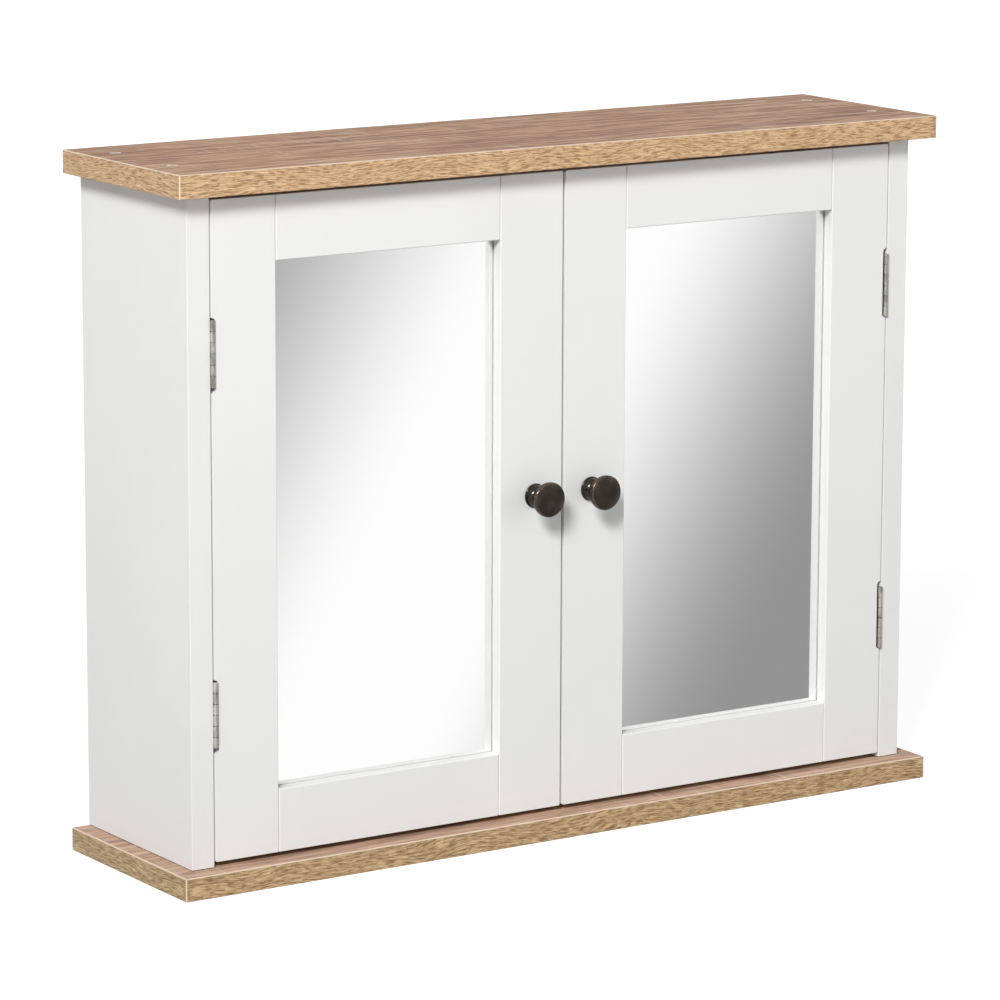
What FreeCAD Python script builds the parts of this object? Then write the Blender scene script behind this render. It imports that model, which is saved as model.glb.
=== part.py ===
import FreeCAD, Part
import math
import os
from FreeCAD import Vector

# Wall-hung bathroom cabinet with two framed mirror doors.
# Millimetres. X runs to the right, Y runs back to the wall, Z runs up.
# The origin is the middle of the bottom board's underside, and the front faces -Y.

# Carcass
cabinet_width = 580.0           # across the top and bottom boards
cabinet_height = 455.0          # underside of the bottom board to the top face
cabinet_depth = 148.0           # boards, front edge to wall
board_thickness = 15.0
edging_thickness = 1.0          # edge band on the boards' front and ends
edging_round = 0.5
side_overhang = 12.5            # boards past the side panels
front_overhang = 14.0           # boards past the doors and side panels
side_thickness = 16.0
side_round = 0.4                # eased front edges of the side panels
side_end_step = 0.6             # step at the ends of the side panels, a fine shadow line on the boards
back_thickness = 3.0
back_lap = 8.0                  # back panel over each side panel
back_play = 0.5

# Hanging rail, inside the top of the carcass against the back panel
rail_height = 60.0
rail_thickness = 15.0
hanging_spacing = 400.0         # between the two wall screw holes
hanging_hole = 6.0
rail_dowel_spacing = 34.0
rail_screw_spacing = 100.0      # between the screws that hold the back panel to the rail

# Shelf on pins
shelf_thickness = 15.0
shelf_play = 0.5
shelf_front_gap = 6.0           # door back to shelf front
pin_diameter = 5.0
pin_insert = 8.0
pin_reach = 10.0
pin_row_inset = 35.0            # pin rows in from the side panel's front edge and from the back panel
pin_rows = 5
pin_pitch = 32.0
peg_clearance = 0.05            # round pegs and dowels in their holes, each side

# Carcass screws and dowels
carcass_screw_head = 8.0
carcass_screw_shank = 4.0
carcass_screw_length = 50.0
carcass_screw_inset = 31.0      # in from the front and back edges of a side panel
dowel_diameter = 8.0
dowel_length = 30.0
dowel_shallow = 10.0            # the end in a board or through a face
dowel_chamfer = 0.8
dowel_spacing = 34.0

# Small countersunk screws: hinges, mirror clips, strikes and back panel
small_screw_head = 4.4
small_screw_shank = 2.0
small_screw_length = 11.0
back_screw_inset = 4.0          # from the back panel's edge
back_screw_margin = 40.0        # first back screw from the boards
back_screw_count = 5            # up each side

screw_clearance = 0.05
screw_sink = 0.2                # heads below the surface
screw_point = 0.25              # blunt end of the tip, as a share of the shank diameter
recess_reach = 0.3              # arm of the cross recess, as a share of the head diameter
recess_width = 0.16             # width of that arm, as a share of the head diameter
recess_depth = 0.7              # depth of it, as a share of the head's height

# Doors
door_thickness = 16.0
door_side_gap = 1.0
door_meeting_gap = 2.0
door_end_gap = 3.5              # to the boards above and below
hinge_stile_width = 46.0
meeting_stile_width = 47.5
rail_width = 41.0
frame_round = 0.7               # eased front edges of stiles and rails
door_edge_round = 0.2           # the same around the outside of a door
door_corner_round = 1.2
joint_line = 0.3                # open joint between rail and stile, on the face
joint_line_depth = 1.6
tenon_length = 12.0
tenon_thickness = 6.0
tenon_shoulder = 8.0            # rail above and below its tenon
tenon_clearance = 0.1

# Mirrors
mirror_thickness = 3.0
mirror_reveal = 8.0             # door face to glass
mirror_lap = 7.0                # glass behind the frame
mirror_play = 0.5
clip_length = 16.0
clip_width = 10.0
clip_thickness = 1.2
clip_overlap = 6.0              # clip over the backing board
clip_pitch = 200.0              # between the two clips of a stile

# Hinges
hinge_height = 42.0
hinge_end_distance = 95.0       # door end to hinge middle
knuckle_count = 6
knuckle_gap = 0.5
barrel_diameter = 3.2
barrel_proud = 0.5              # hinge axis in front of the door face
hinge_pin_diameter = 1.6
hinge_pin_clearance = 0.05
leaf_thickness = 1.0
leaf_gap = 0.8                  # between the closed leaves
leaf_depth = 13.0
leaf_screw_spacing = 24.0
leaf_screw_back = 8.0           # hinge axis to leaf screws
notch_open_room = 4.0           # notch past the hinge's one end: below on the left, above on the right
notch_snug_room = 1.0           # notch past its other end
notch_barrel_room = 0.7         # notch beside the barrel
notch_depth = 6.0               # from the door face
notch_corner = 0.9              # radius of the notch's corners, as a share of its depth
knuckle_room = 0.25             # leaf edge clear of the other leaf's knuckles

# Knobs
knob_inset = 20.8               # door's meeting edge to knob axis
knob_height = 20.6
knob_flange_diameter = 16.0
knob_flange_height = 1.6
knob_bowl_diameter = 14.0       # where the bowl stands on the flange
knob_bowl_swell = 0.9           # bowl outside the straight line from flange to neck
knob_neck_diameter = 8.4
knob_neck_height = 6.2          # door face to the neck's narrow end
knob_head_diameter = 22.8
knob_head_start = 16.0          # door face to the underside of the head's rim
knob_rim_height = 2.4
knob_rim_round = 0.8
knob_rim_under = 1.6            # slanting underside of the rim
knob_step = 0.20                # face's edge below the rim
throat_in = 0.25                # hollow under the head, as a share of the way from neck to head
throat_up = 0.7
knob_screw_shank = 4.0
knob_screw_grip = 9.0           # screw inside the knob
knob_screw_head = 8.0
knob_screw_head_height = 2.5

# Magnetic catches under the top board
catch_offset = 25.0             # cabinet middle to catch middle
catch_length = 38.0
catch_depth = 15.0
catch_height = 16.0
catch_gap = 0.3                 # catch to strike plate, doors closed
magnet_length = 18.0
magnet_depth = 12.0
magnet_height = 7.0
magnet_play = 0.1
catch_screw_head = 5.6
catch_screw_shank = 3.0
catch_screw_length = 25.0
catch_screw_margin = 4.5        # from each end of the housing
strike_length = 26.0
strike_height = 10.0
strike_thickness = 1.2
strike_drop = 6.0               # door top to strike middle

# Planes and lines that the pieces share
half_width = cabinet_width / 2
wall_y = cabinet_depth / 2
board_front = -cabinet_depth / 2
face_y = board_front + front_overhang
floor_z = board_thickness
roof_z = cabinet_height - board_thickness
middle_z = (floor_z + roof_z) / 2
side_outer = half_width - side_overhang
side_inner = side_outer - side_thickness
side_middle = (side_outer + side_inner) / 2
back_front = wall_y - back_thickness
side_joint_y = (face_y + wall_y) / 2

door_outer = side_inner - door_side_gap
door_inner = door_meeting_gap / 2
door_low = floor_z + door_end_gap
door_high = roof_z - door_end_gap
door_back = face_y + door_thickness
open_outer = door_outer - hinge_stile_width
open_inner = door_inner + meeting_stile_width
open_low = door_low + rail_width
open_high = door_high - rail_width
open_middle_x = (open_inner + open_outer) / 2
rebate = mirror_lap + mirror_play
mirror_front = face_y + mirror_reveal
mirror_back = mirror_front + mirror_thickness

hinge_x = side_inner - leaf_thickness - leaf_gap / 2
hinge_y = face_y - barrel_proud
hinge_levels = {"lower": door_low + hinge_end_distance, "upper": door_high - hinge_end_distance}
leaf_screw_y = hinge_y + leaf_screw_back
strike_z = door_high - strike_drop
catch_front = door_back + strike_thickness + catch_gap
knob_x = door_inner + knob_inset
knob_z = (door_low + door_high) / 2

pin_ys = (face_y + pin_row_inset, back_front - pin_row_inset)
pin_levels = [middle_z + pin_pitch * (row - (pin_rows - 1) / 2) for row in range(pin_rows)]
shelf_pin_z = pin_levels[pin_rows // 2]
shelf_low = shelf_pin_z + pin_diameter / 2

to_right = Vector(1, 0, 0)
to_back = Vector(0, 1, 0)
to_front = Vector(0, -1, 0)
upward = Vector(0, 0, 1)
downward = Vector(0, 0, -1)

sides = {"left": -1, "right": 1}
hair = 1e-6                     # places closer than this are the same


# Basic shapes

def block(x, y, z):
    corner = Vector(min(x), min(y), min(z))
    return Part.makeBox(abs(x[1] - x[0]), abs(y[1] - y[0]), abs(z[1] - z[0]), corner)


def rod(radius, length, start, direction):
    return Part.makeCylinder(radius, length, start, direction)


def joined(first, others):
    return first.fuse(others).removeSplitter()


def rounded(shape, radius, wanted):
    edges = [edge for edge in shape.Edges if wanted(edge)]
    return shape.makeFillet(radius, edges)


def on_plane_x(edge, x):
    return all(abs(vertex.X - x) < hair for vertex in edge.Vertexes)


def on_plane_y(edge, y):
    return all(abs(vertex.Y - y) < hair for vertex in edge.Vertexes)


def on_plane_z(edge, z):
    return all(abs(vertex.Z - z) < hair for vertex in edge.Vertexes)


def is_level(edge):
    return abs(edge.Vertexes[0].Z - edge.Vertexes[-1].Z) < hair


def runs_back(edge):
    return abs(edge.Vertexes[0].Y - edge.Vertexes[-1].Y) > hair


def aimed(shape, point, direction):
    placed = shape.copy()
    placed.Placement = FreeCAD.Placement(point, FreeCAD.Rotation(upward, direction))
    return placed


# Screws and pegs

def screw(head, shank, length, point, direction):
    head_height = (head - shank) / 2
    body = Part.makeCylinder(shank / 2, length - shank)
    cone = Part.makeCone(head / 2, shank / 2, head_height)
    tip = Part.makeCone(shank / 2, shank * screw_point / 2, shank, Vector(0, 0, length - shank))
    reach, half = head * recess_reach, head * recess_width / 2
    depth = (0, head_height * recess_depth)
    cross = block((-reach, reach), (-half, half), depth).fuse(block((-half, half), (-reach, reach), depth))
    solid = joined(body, [cone, tip]).cut(cross)
    return aimed(solid, point + direction * screw_sink, direction)


def screw_hole(head, shank, length, point, direction):
    head_height = (head - shank) / 2
    wide, narrow = head / 2 + screw_clearance, shank / 2 + screw_clearance
    mouth = Part.makeCylinder(wide, screw_sink)
    cone = Part.makeCone(wide, narrow, head_height, Vector(0, 0, screw_sink))
    way = Part.makeCylinder(narrow, screw_sink + length + screw_clearance)
    return aimed(joined(way, [mouth, cone]), point, direction)


def small_screw(point, direction):
    return screw(small_screw_head, small_screw_shank, small_screw_length, point, direction)


def small_hole(point, direction):
    return screw_hole(small_screw_head, small_screw_shank, small_screw_length, point, direction)


def carcass_screw(point, direction):
    return screw(carcass_screw_head, carcass_screw_shank, carcass_screw_length, point, direction)


def carcass_hole(point, direction):
    return screw_hole(carcass_screw_head, carcass_screw_shank, carcass_screw_length, point, direction)


def catch_screw(point, direction):
    return screw(catch_screw_head, catch_screw_shank, catch_screw_length, point, direction)


def catch_hole(point, direction):
    return screw_hole(catch_screw_head, catch_screw_shank, catch_screw_length, point, direction)


def dowel(start, direction):
    peg = rod(dowel_diameter / 2, dowel_length, start, direction)
    rims = [edge for edge in peg.Edges if edge.isClosed()]
    return peg.makeChamfer(dowel_chamfer, rims)


def dowel_hole(start, direction):
    length = dowel_length + 2 * peg_clearance
    return rod(dowel_diameter / 2 + peg_clearance, length, start - direction * peg_clearance, direction)


# Places of the fasteners

def carcass_screw_spots(surface_z):
    ys = (face_y + carcass_screw_inset, wall_y - carcass_screw_inset)
    return [Vector(sign * side_middle, y, surface_z) for sign in sides.values() for y in ys]


def carcass_dowel_spots(joint_z, inward):
    start_z = joint_z - inward * dowel_shallow
    ys = (side_joint_y - dowel_spacing / 2, side_joint_y + dowel_spacing / 2)
    return [Vector(sign * side_middle, y, start_z) for sign in sides.values() for y in ys]


def rail_dowel_spots(sign):
    x = sign * (side_inner + dowel_shallow)
    y = back_front - rail_thickness / 2
    middle = roof_z - rail_height / 2
    return [Vector(x, y, middle + step * rail_dowel_spacing / 2) for step in (-1, 1)]


def back_screw_spots():
    x = side_inner + back_lap - back_play - back_screw_inset
    low, high = floor_z + back_screw_margin, roof_z - back_screw_margin
    step = (high - low) / (back_screw_count - 1)
    levels = [low + step * row for row in range(back_screw_count)]
    edges = [Vector(sign * x, wall_y, z) for sign in sides.values() for z in levels]
    rail_z = roof_z - rail_height / 2
    return edges + [Vector(step * rail_screw_spacing, wall_y, rail_z) for step in (-1, 0, 1)]


def hanging_holes():
    z = roof_z - rail_height / 2
    spots = [Vector(sign * hanging_spacing / 2, back_front - rail_thickness, z) for sign in sides.values()]
    return [rod(hanging_hole / 2, rail_thickness + back_thickness, spot, to_back) for spot in spots]


def leaf_screw_spots(sign, x):
    steps = (-leaf_screw_spacing / 2, leaf_screw_spacing / 2)
    return [Vector(sign * x, leaf_screw_y, z + step) for z in hinge_levels.values() for step in steps]


def frame_leaf_screw_spots(sign):
    return leaf_screw_spots(sign, hinge_x + leaf_gap / 2)


def door_leaf_screw_spots(sign):
    return leaf_screw_spots(sign, hinge_x - leaf_gap / 2)


def catch_screw_spots(sign):
    reach = catch_length / 2 - catch_screw_margin
    y = catch_front + catch_depth / 2
    return [Vector(sign * catch_offset + step * reach, y, roof_z - catch_height) for step in (-1, 1)]


def strike_screw_spot(sign):
    return Vector(sign * catch_offset, door_back + strike_thickness, strike_z)


# Each clip: the point on the rebate's edge that it crosses, and the direction out on to the frame
def clip_places(sign):
    middle = (open_low + open_high) / 2
    levels = (middle - clip_pitch / 2, middle + clip_pitch / 2)
    out, inward = Vector(sign, 0, 0), Vector(-sign, 0, 0)
    hinge_side = [(Vector(sign * (open_outer + rebate), door_back, z), out) for z in levels]
    meeting_side = [(Vector(sign * (open_inner - rebate), door_back, z), inward) for z in levels]
    upper = [(Vector(sign * open_middle_x, door_back, open_high + rebate), upward)]
    lower = [(Vector(sign * open_middle_x, door_back, open_low - rebate), downward)]
    return hinge_side + meeting_side + upper + lower


def clip_screw_spots(sign):
    hold = (clip_length - clip_overlap) / 2
    lift = Vector(0, clip_thickness, 0)
    return [edge + out * hold + lift for edge, out in clip_places(sign)]


# Top and bottom boards

def board(low, surface_z, drive, joint_z, inward, more_holes):
    x = (edging_thickness - half_width, half_width - edging_thickness)
    core = block(x, (board_front + edging_thickness, wall_y), (low, low + board_thickness))
    holes = [carcass_hole(spot, drive) for spot in carcass_screw_spots(surface_z)]
    holes += [dowel_hole(spot, Vector(0, 0, inward)) for spot in carcass_dowel_spots(joint_z, inward)]
    return core.cut(holes + more_holes)


def catch_holes():
    return [catch_hole(spot, upward) for sign in sides.values() for spot in catch_screw_spots(sign)]


def edging(low):
    z = (low, low + board_thickness)
    inside = board_front + edging_thickness
    front = block((-half_width, half_width), (board_front, inside), z)
    front = rounded(front, edging_round, lambda edge: on_plane_y(edge, board_front))
    strips = [front]
    for sign in sides.values():
        outer = sign * half_width
        end = block((outer, outer - sign * edging_thickness), (inside, wall_y), z)
        strips.append(rounded(end, edging_round, lambda edge: is_end_arris(edge, outer)))
    return Part.makeCompound(strips)


def is_end_arris(edge, x):
    return is_level(edge) and on_plane_x(edge, x)


# Side panels with rebate, hinge screw holes and rows of shelf pin holes

def side_panel(sign):
    x = (sign * side_inner, sign * side_outer)
    panel = block(x, (face_y, wall_y), (floor_z + side_end_step, roof_z - side_end_step))
    panel = rounded(panel, side_round, is_upright_front)
    core_x = (sign * side_inner, sign * (side_outer - side_end_step))
    core = block(core_x, (face_y + side_end_step, wall_y), (floor_z, roof_z))
    panel = panel.fuse(core).removeSplitter()
    lap = (sign * side_inner, sign * (side_inner + back_lap))
    holes = [block(lap, (back_front, wall_y), (floor_z, roof_z))]
    holes += [carcass_hole(spot, downward) for spot in carcass_screw_spots(cabinet_height)]
    holes += [carcass_hole(spot, upward) for spot in carcass_screw_spots(0.0)]
    holes += [dowel_hole(spot, downward) for spot in carcass_dowel_spots(roof_z, -1)]
    holes += [dowel_hole(spot, upward) for spot in carcass_dowel_spots(floor_z, 1)]
    holes += [dowel_hole(spot, to_right * -sign) for spot in rail_dowel_spots(sign)]
    holes += [small_hole(spot, to_right * sign) for spot in frame_leaf_screw_spots(sign)]
    holes += [small_hole(spot, to_front) for spot in back_screw_spots()]
    radius, depth = pin_diameter / 2 + peg_clearance, pin_insert + peg_clearance
    for y in pin_ys:
        for z in pin_levels:
            holes.append(rod(radius, depth, Vector(sign * side_inner, y, z), to_right * sign))
    return panel.cut(holes)


def is_upright_front(edge):
    return on_plane_y(edge, face_y) and not is_level(edge)


def back_panel():
    reach = side_inner + back_lap - back_play
    panel = block((-reach, reach), (back_front, wall_y), (floor_z, roof_z))
    return panel.cut(hanging_holes() + [small_hole(spot, to_front) for spot in back_screw_spots()])


def hanging_rail():
    y = (back_front - rail_thickness, back_front)
    rail = block((-side_inner, side_inner), y, (roof_z - rail_height, roof_z))
    holes = hanging_holes() + [small_hole(spot, to_front) for spot in back_screw_spots()]
    for sign in sides.values():
        holes += [dowel_hole(spot, to_right * -sign) for spot in rail_dowel_spots(sign)]
    return rail.cut(holes)


def shelf():
    reach = side_inner - shelf_play
    y = (door_back + shelf_front_gap, back_front - shelf_play)
    return block((-reach, reach), y, (shelf_low, shelf_low + shelf_thickness))


def carcass_screws(surface_z, drive):
    return Part.makeCompound([carcass_screw(spot, drive) for spot in carcass_screw_spots(surface_z)])


def shelf_pins():
    pins = []
    for sign in sides.values():
        start = sign * (side_inner - pin_reach)
        for y in pin_ys:
            length = pin_reach + pin_insert
            pins.append(rod(pin_diameter / 2, length, Vector(start, y, shelf_pin_z), to_right * sign))
    return Part.makeCompound(pins)


def carcass_dowels():
    pegs = [dowel(spot, downward) for spot in carcass_dowel_spots(roof_z, -1)]
    pegs += [dowel(spot, upward) for spot in carcass_dowel_spots(floor_z, 1)]
    return Part.makeCompound(pegs)


def rail_dowels():
    pegs = []
    for sign in sides.values():
        pegs += [dowel(spot, to_right * -sign) for spot in rail_dowel_spots(sign)]
    return Part.makeCompound(pegs)


# Hinges: two leaves with alternate knuckles, and a pin

def knuckle_span(level, index):
    pitch = hinge_height / knuckle_count
    bottom = level - hinge_height / 2 + index * pitch
    low = bottom + (knuckle_gap / 2 if index > 0 else 0)
    high = bottom + pitch - (knuckle_gap / 2 if index < knuckle_count - 1 else 0)
    return low, high


def hinge_axis(sign, z):
    return Vector(sign * hinge_x, hinge_y, z)


def hinge_leaf(sign, level, first_knuckle, toward):
    ends = (level - hinge_height / 2, level + hinge_height / 2)
    near = sign * hinge_x + toward * leaf_gap / 2
    leaf = block((near, near + toward * leaf_thickness), (hinge_y, hinge_y + leaf_depth), ends)
    clear = barrel_diameter / 2 + knuckle_room
    for index in range(knuckle_count):
        low, high = knuckle_span(level, index)
        if index % 2 == first_knuckle:
            leaf = leaf.fuse(rod(barrel_diameter / 2, high - low, hinge_axis(sign, low), upward))
        else:
            start, length = low - knuckle_gap, high - low + 2 * knuckle_gap
            leaf = leaf.cut(rod(clear, length, hinge_axis(sign, start), upward))
    bore_radius = hinge_pin_diameter / 2 + hinge_pin_clearance
    return leaf.cut(rod(bore_radius, hinge_height, hinge_axis(sign, ends[0]), upward))


def frame_leaf(sign, level):
    holes = [small_hole(spot, to_right * sign) for spot in frame_leaf_screw_spots(sign)]
    return hinge_leaf(sign, level, 0, sign).cut(holes).removeSplitter()


def door_leaf(sign, level):
    holes = [small_hole(spot, to_right * -sign) for spot in door_leaf_screw_spots(sign)]
    return hinge_leaf(sign, level, 1, -sign).cut(holes).removeSplitter()


def hinge_pin(sign, level):
    return rod(hinge_pin_diameter / 2, hinge_height, hinge_axis(sign, level - hinge_height / 2), upward)


# Room in a hinge stile for one hinge: a pocket for the leaves and a round-ended notch for the barrel
def hinge_recess(sign, level):
    below, above = (notch_open_room, notch_snug_room) if sign < 0 else (notch_snug_room, notch_open_room)
    z = (level - hinge_height / 2 - below, level + hinge_height / 2 + above)
    edge = sign * door_outer
    leaf_floor = sign * (hinge_x - leaf_gap / 2 - leaf_thickness)
    pocket_back = hinge_y + leaf_depth + knuckle_room
    pocket_front = hinge_y + barrel_diameter / 2
    pocket = block((leaf_floor, edge), (pocket_front, pocket_back), z)
    depth = door_outer - hinge_x + barrel_diameter / 2 + notch_barrel_room
    notch = block((edge - sign * depth, edge + sign * depth), (face_y, face_y + notch_depth), z)
    notch = rounded(notch, depth * notch_corner, runs_back)
    return pocket.fuse(notch)


# Door frames

# A rail, eased more finely along the edge that is the door's own
def frame_bar(x, z):
    bar = block(x, (face_y, door_back), z)
    outer_z = z[0] if z[0] == door_low else z[1]
    bar = rounded(bar, frame_round, lambda edge: is_on_face(edge) and not on_plane_z(edge, outer_z))
    return rounded(bar, door_edge_round, lambda edge: is_on_face(edge) and on_plane_z(edge, outer_z))


# A stile whose edge at x is the door's own, with rounded corners
def frame_stile(x, inside_x):
    stile = block((x, inside_x), (face_y, door_back), (door_low, door_high))
    stile = rounded(stile, door_corner_round, lambda edge: runs_back(edge) and on_plane_x(edge, x))
    stile = rounded(stile, door_edge_round, lambda edge: is_on_face(edge) and not on_plane_x(edge, inside_x))
    return rounded(stile, frame_round, lambda edge: is_on_face(edge) and on_plane_x(edge, inside_x))


def is_on_face(edge):
    return on_plane_y(edge, face_y)


def tenon_blocks(sign, rail_z, spare):
    y_middle = (face_y + door_back) / 2
    y = (y_middle - tenon_thickness / 2 - spare, y_middle + tenon_thickness / 2 + spare)
    z = (rail_z[0] + tenon_shoulder - spare, rail_z[1] - tenon_shoulder + spare)
    reach = tenon_length + spare
    outer = block((sign * open_outer, sign * (open_outer + reach)), y, z)
    inner = block((sign * open_inner, sign * (open_inner - reach)), y, z)
    return [outer, inner]


def rail_levels():
    return {"bottom": (door_low, open_low), "top": (open_high, door_high)}


def stile_cuts(sign):
    z = (open_low - rebate, open_high + rebate)
    x = (sign * (open_inner - rebate), sign * (open_outer + rebate))
    cuts = [block(x, (mirror_front, door_back), z)]
    for rail_z in rail_levels().values():
        cuts += tenon_blocks(sign, rail_z, tenon_clearance)
    cuts += [small_hole(spot, to_front) for spot in clip_screw_spots(sign)]
    return cuts


def hinge_stile(sign):
    stile = frame_stile(sign * door_outer, sign * open_outer)
    cuts = stile_cuts(sign) + [hinge_recess(sign, level) for level in hinge_levels.values()]
    cuts += [small_hole(spot, to_right * -sign) for spot in door_leaf_screw_spots(sign)]
    return stile.cut(cuts)


def meeting_stile(sign):
    stile = frame_stile(sign * door_inner, sign * open_inner)
    bore_start = Vector(sign * knob_x, face_y, knob_z)
    bore = rod(knob_screw_shank / 2 + screw_clearance, door_thickness, bore_start, to_back)
    return stile.cut(stile_cuts(sign) + [bore, small_hole(strike_screw_spot(sign), to_front)])


def door_rail(sign, rail_z):
    x = (sign * open_inner, sign * open_outer)
    shown = (sign * (open_inner + joint_line), sign * (open_outer - joint_line))
    shoulders = block(x, (face_y + joint_line_depth, door_back), rail_z)
    bar = joined(frame_bar(shown, rail_z), [shoulders])
    z = (open_low - rebate, open_high + rebate)
    cuts = [block(x, (mirror_front, door_back), z)]
    cuts += [small_hole(spot, to_front) for spot in clip_screw_spots(sign)]
    return joined(bar.cut(cuts), tenon_blocks(sign, rail_z, 0.0))


# Mirrors and what holds them

def mirror_sheet(sign, y):
    x = (sign * (open_inner - mirror_lap), sign * (open_outer + mirror_lap))
    return block(x, y, (open_low - mirror_lap, open_high + mirror_lap))


def mirror_clips(sign):
    clips = []
    for edge, out in clip_places(sign):
        half = Vector(out.z, 0, out.x) * (clip_width / 2)
        start, end = edge - out * clip_overlap - half, edge + out * (clip_length - clip_overlap) + half
        clips.append(block((start.x, end.x), (door_back, door_back + clip_thickness), (start.z, end.z)))
    holes = [small_hole(spot, to_front) for spot in clip_screw_spots(sign)]
    return Part.makeCompound([clip.cut(holes) for clip in clips])


def strike_plate(sign):
    x = sign * catch_offset
    plate = block((x - strike_length / 2, x + strike_length / 2), (door_back, door_back + strike_thickness),
                  (strike_z - strike_height / 2, strike_z + strike_height / 2))
    return plate.cut(small_hole(strike_screw_spot(sign), to_front))


def door_screws(sign):
    screws = [small_screw(spot, to_right * -sign) for spot in door_leaf_screw_spots(sign)]
    screws += [small_screw(spot, to_front) for spot in clip_screw_spots(sign)]
    screws.append(small_screw(strike_screw_spot(sign), to_front))
    return Part.makeCompound(screws)


# Knobs, turned about an axis square to the door

def knob(sign):
    head, rim_top = knob_head_diameter / 2, knob_head_start + knob_rim_height
    lip = knob_flange_height / 2
    flange = knob_flange_diameter / 2 - lip
    bowl_foot = Vector(knob_bowl_diameter / 2, knob_flange_height, 0)
    waist = Vector(knob_neck_diameter / 2, knob_neck_height, 0)
    under = Vector(head - knob_rim_under, knob_head_start - knob_rim_under / 2, 0)
    throat = waist + Vector((under.x - waist.x) * throat_in, (under.y - waist.y) * throat_up, 0)
    rim_side, rim_in = Vector(head, rim_top - knob_rim_round, 0), Vector(head - knob_rim_round, rim_top, 0)
    eased = knob_rim_round * (1 - math.sqrt(0.5))
    face_edge = rim_in - Vector(0, knob_step, 0)
    crown = Vector(0, knob_height, 0)
    edges = [
        Part.makeLine(Vector(), Vector(flange, 0, 0)),
        Part.Arc(Vector(flange, 0, 0), Vector(flange + lip, lip, 0), Vector(flange, 2 * lip, 0)).toShape(),
        Part.makeLine(Vector(flange, 2 * lip, 0), bowl_foot),
        Part.Arc(bowl_foot, swollen(bowl_foot, waist, knob_bowl_swell), waist).toShape(),
        Part.Arc(waist, throat, under).toShape(),
        Part.makeLine(under, Vector(head, knob_head_start, 0)),
        Part.makeLine(Vector(head, knob_head_start, 0), rim_side),
        Part.Arc(rim_side, Vector(head - eased, rim_top - eased, 0), rim_in).toShape(),
        Part.makeLine(rim_in, face_edge),
        Part.Arc(face_edge, dome_point(face_edge, crown), crown).toShape(),
        Part.makeLine(crown, Vector()),
    ]
    turned = Part.Face(Part.Wire(edges)).revolve(Vector(), to_back, 360)
    hole = rod(knob_screw_shank / 2 + screw_clearance, knob_screw_grip + screw_clearance, Vector(), to_back)
    solid = turned.cut(hole)
    solid.Placement = FreeCAD.Placement(Vector(sign * knob_x, face_y, knob_z), FreeCAD.Rotation(upward, 180))
    return solid


# The point beside the middle of a rising line, on the side away from the axis
def swollen(low, high, swell):
    along = (high - low).normalize()
    return (low + high) * 0.5 + Vector(along.y, -along.x, 0) * swell


# Half way along the arc of a ball's cap, from its edge to the crown on the axis
def dome_point(edge, crown):
    rise = crown.y - edge.y
    radius = (edge.x ** 2 + rise ** 2) / (2 * rise)
    half_turn = math.asin(edge.x / radius) / 2
    return Vector(radius * math.sin(half_turn), crown.y - radius + radius * math.cos(half_turn), 0)


def knob_screw(sign):
    head = rod(knob_screw_head / 2, knob_screw_head_height, Vector(sign * knob_x, door_back, knob_z), to_back)
    length = door_thickness + knob_screw_grip
    shank = rod(knob_screw_shank / 2, length, Vector(sign * knob_x, door_back, knob_z), to_front)
    slot_width, slot_depth = knob_screw_head * recess_width, knob_screw_head_height * recess_depth
    x = (sign * knob_x - slot_width / 2, sign * knob_x + slot_width / 2)
    top = door_back + knob_screw_head_height
    slot = block(x, (top - slot_depth, top), (knob_z - knob_screw_head, knob_z + knob_screw_head))
    return joined(head, [shank]).cut(slot)


# Magnetic catches

def catch_pocket(sign, spare):
    x = sign * catch_offset
    half = magnet_length / 2 + spare
    z = (strike_z - magnet_height / 2 - spare, strike_z + magnet_height / 2 + spare)
    return block((x - half, x + half), (catch_front, catch_front + magnet_depth + spare), z)


def catch_housing(sign):
    x = sign * catch_offset
    body = block((x - catch_length / 2, x + catch_length / 2), (catch_front, catch_front + catch_depth),
                 (roof_z - catch_height, roof_z))
    holes = [catch_hole(spot, upward) for spot in catch_screw_spots(sign)]
    return body.cut(holes + [catch_pocket(sign, magnet_play)])


# Every node by name

nodes = {
    "top_board": board(roof_z, cabinet_height, downward, roof_z, -1, catch_holes()),
    "top_board_edging": edging(roof_z),
    "bottom_board": board(0.0, 0.0, upward, floor_z, 1, []),
    "bottom_board_edging": edging(0.0),
    "back_panel": back_panel(),
    "hanging_rail": hanging_rail(),
    "shelf": shelf(),
    "shelf_pins": shelf_pins(),
    "carcass_dowels": carcass_dowels(),
    "rail_dowels": rail_dowels(),
    "top_screws": carcass_screws(cabinet_height, downward),
    "bottom_screws": carcass_screws(0.0, upward),
    "back_panel_screws": Part.makeCompound([small_screw(spot, to_front) for spot in back_screw_spots()]),
}

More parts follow.
